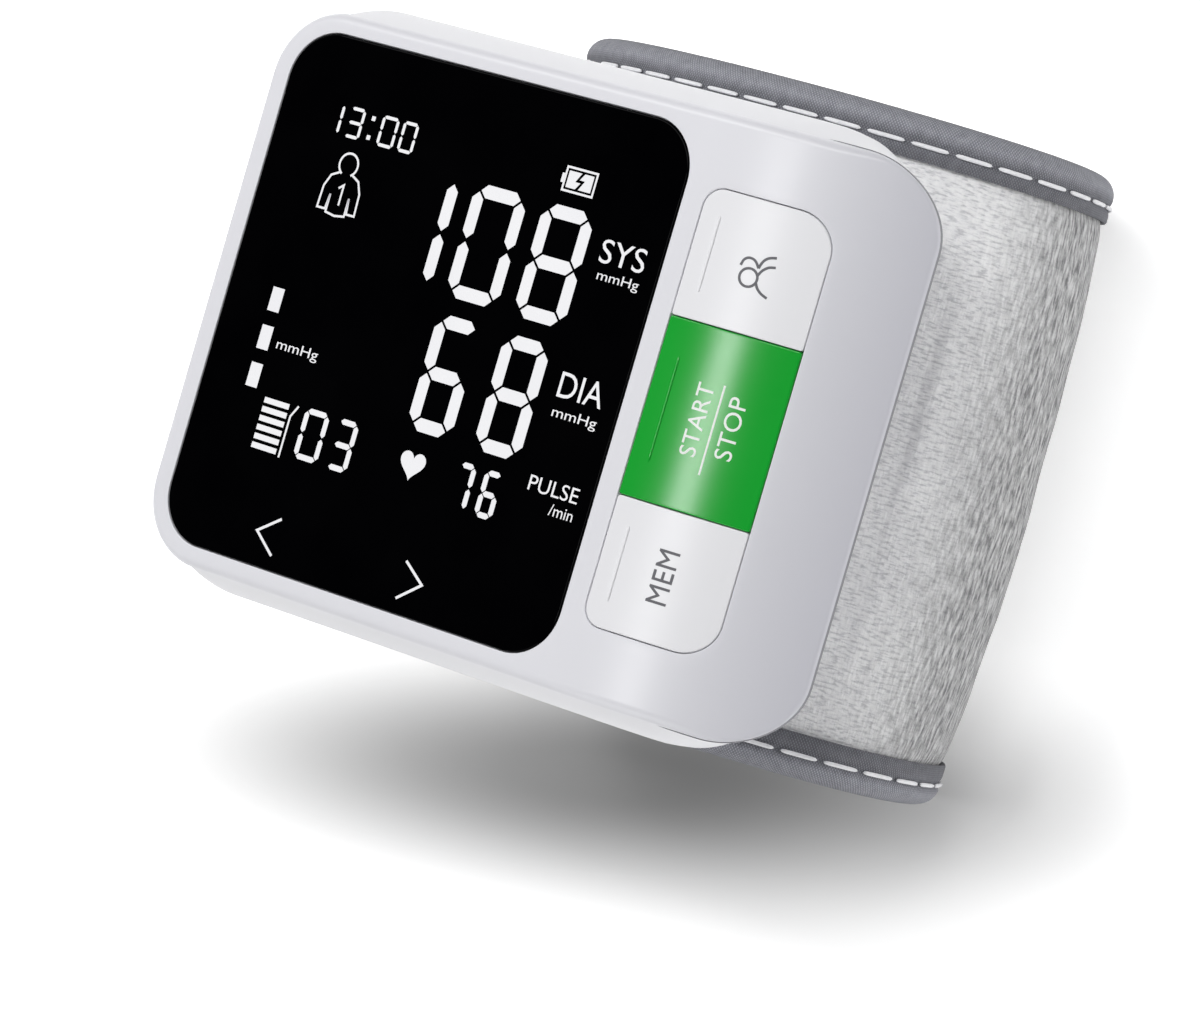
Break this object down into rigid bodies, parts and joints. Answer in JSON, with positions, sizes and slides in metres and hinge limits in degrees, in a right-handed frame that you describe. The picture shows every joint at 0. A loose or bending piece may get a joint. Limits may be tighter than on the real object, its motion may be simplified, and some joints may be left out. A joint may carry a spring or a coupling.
{
  "type": "wrist blood pressure monitor",
  "caption": "Wrist blood pressure monitor: white case with a black display and a strip of white and green buttons, on a grey padded wrist cuff that opens.",
  "frame": {"origin": "on the cuff's resting face, under the middle of the whole object", "axes": "+X across the display towards the buttons, +Y along the wrist towards the display's top edge, +Z out of the display"},
  "size_m": [0.0826, 0.0722, 0.07],
  "materials": {
    "case_white": "satin",
    "shell_white": "satin",
    "button_green": "satin",
    "window_black": "polished",
    "display_dark": "smooth",
    "board_green": "satin",
    "steel": "satin",
    "battery_foil": "satin",
    "dark_plastic": "matte",
    "pale_plastic": "matte",
    "tube_rubber": "matte",
    "black_rubber": "matte",
    "cuff_knit": "woven",
    "cuff_lining": "woven",
    "binding_tape": "woven",
    "closure_pile": "piled",
    "strap_foam": "foam"
  },
  "bodies": {
    "monitor": {"front_cover": "case_white", "rear_shell": "shell_white", "case_screw_1": "steel", "case_screw_2": "steel", "case_screw_3": "steel", "case_screw_4": "steel", "display_window": "window_black", "display_module": "display_dark", "display_holder": "shell_white", "user_switch": "dark_plastic", "start_stop_switch": "dark_plastic", "memory_switch": "dark_plastic", "main_board": "board_green", "battery_cell": "battery_foil", "usb_socket": "steel", "pump_motor": "steel", "pump_head": "pale_plastic", "air_manifold": "pale_plastic", "pump_tube": "tube_rubber", "sensor_tube": "tube_rubber", "pressure_sensor": "dark_plastic", "exhaust_valve": "steel", "air_nipple": "shell_white", "nipple_seal": "black_rubber", "cuff_plate": "shell_white", "cuff_outer": "cuff_knit", "cuff_stiffener": "pale_plastic", "air_bladder": "black_rubber", "cuff_lining": "cuff_lining", "cuff_upper_binding": "binding_tape", "cuff_lower_binding": "binding_tape", "loop_patch": "closure_pile"},
    "user_key": {"user_button": "case_white"},
    "start_stop_key": {"start_stop_button": "button_green"},
    "memory_key": {"memory_button": "case_white"},
    "pump_rotor": {"pump_eccentric": "pale_plastic"},
    "valve_core": {"valve_plunger": "steel"},
    "strap": {"strap_outer": "cuff_knit", "strap_foam": "strap_foam", "strap_lining": "cuff_lining", "strap_upper_binding": "binding_tape", "strap_lower_binding": "binding_tape", "closure_tab": "binding_tape", "hook_patch": "closure_pile"}
  },
  "joints": [
    {"name": "user_press", "type": "slide", "parent": "monitor", "child": "user_key", "axis": [0, 0, -1], "range_m": [0, 0.0005], "stiffness_N_per_m": 500, "springref_m": -0.0005},
    {"name": "start_stop_press", "type": "slide", "parent": "monitor", "child": "start_stop_key", "axis": [0, 0, -1], "range_m": [0, 0.0005], "stiffness_N_per_m": 500, "springref_m": -0.0005},
    {"name": "memory_press", "type": "slide", "parent": "monitor", "child": "memory_key", "axis": [0, 0, -1], "range_m": [0, 0.0005], "stiffness_N_per_m": 500, "springref_m": -0.0005},
    {"name": "pump_spin", "type": "hinge", "parent": "monitor", "child": "pump_rotor", "pos_m": [0.00925, -0.0105, 0.0552], "axis": [0, 1, 0], "continuous": true},
    {"name": "valve_stroke", "type": "slide", "parent": "monitor", "child": "valve_core", "axis": [0, -1, 0], "range_m": [0, 0.0008], "stiffness_N_per_m": 60, "springref_m": -0.0005},
    {"name": "strap_swing", "type": "hinge", "parent": "monitor", "child": "strap", "pos_m": [-0.02287, 0, 0.03836], "axis": [0, 1, 0], "range_deg": [0, 85]}
  ]
}
